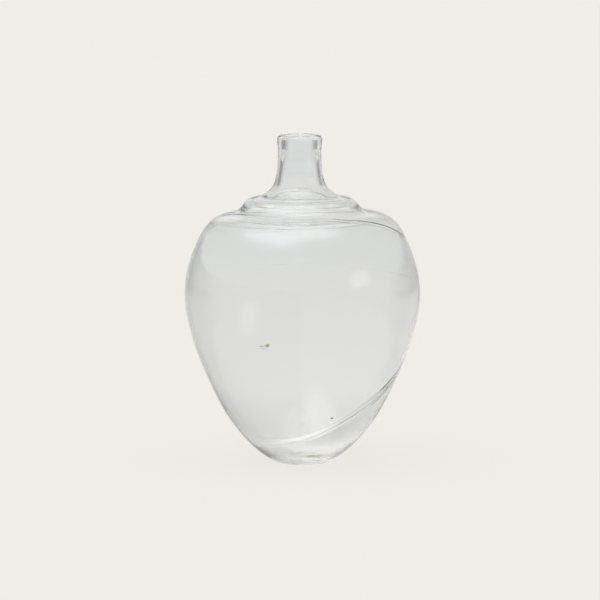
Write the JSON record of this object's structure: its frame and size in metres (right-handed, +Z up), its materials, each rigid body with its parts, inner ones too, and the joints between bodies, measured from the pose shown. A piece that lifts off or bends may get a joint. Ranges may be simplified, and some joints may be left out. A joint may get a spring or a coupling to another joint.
{
  "type": "wasp trap",
  "caption": "Hand-blown clear glass bottle trap with a rolled lip, short neck, stepped shoulder and egg-shaped body on a small round base.",
  "frame": {"origin": "centre of the resting ring, on the surface that the bottle stands on", "axes": "+Z up along the bottle; -Y is the side that faces the viewer; the neck leans off the body's axis towards -X"},
  "size_m": [0.1516, 0.1516, 0.2123],
  "materials": {
    "clear_glass": "clear free-blown glass with a faint haze of dried water marks",
    "dried_bait": "dull dried crust",
    "insect_matter": "dull organic matter",
    "dark_dirt": "dull dirt"
  },
  "bodies": {
    "root": {"glass_vessel": "clear_glass", "bait_residue": "dried_bait", "neck_residue": "dried_bait", "crease_dirt": "dark_dirt", "wall_fleck": "insect_matter", "wall_speck": "dark_dirt"}
  },
  "joints": []
}
